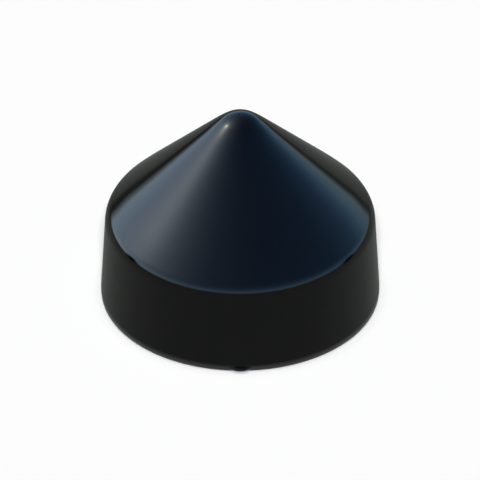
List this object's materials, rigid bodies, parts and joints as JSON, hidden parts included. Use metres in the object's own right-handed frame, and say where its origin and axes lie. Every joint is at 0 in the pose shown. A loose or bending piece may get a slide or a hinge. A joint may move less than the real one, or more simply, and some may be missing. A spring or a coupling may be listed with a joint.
{
  "type": "pile cap",
  "caption": "Hollow conical cap with a blunt tip and a drafted skirt, which slips over the top of a round dock pile to shed rain and keep birds off.",
  "frame": {"origin": "centre of the mouth, on the plane of the rim that the cap stands on", "axes": "+Z along the axis of the cap, from the mouth to the tip; -Y the front, where the nib on the rim is"},
  "size_m": [0.2712, 0.2752, 0.2112],
  "materials": {
    "shell": "black UV-stable polyethylene, glossy on the cone and satin on the skirt"
  },
  "bodies": {
    "root": {"cap_shell": "shell"}
  },
  "joints": []
}
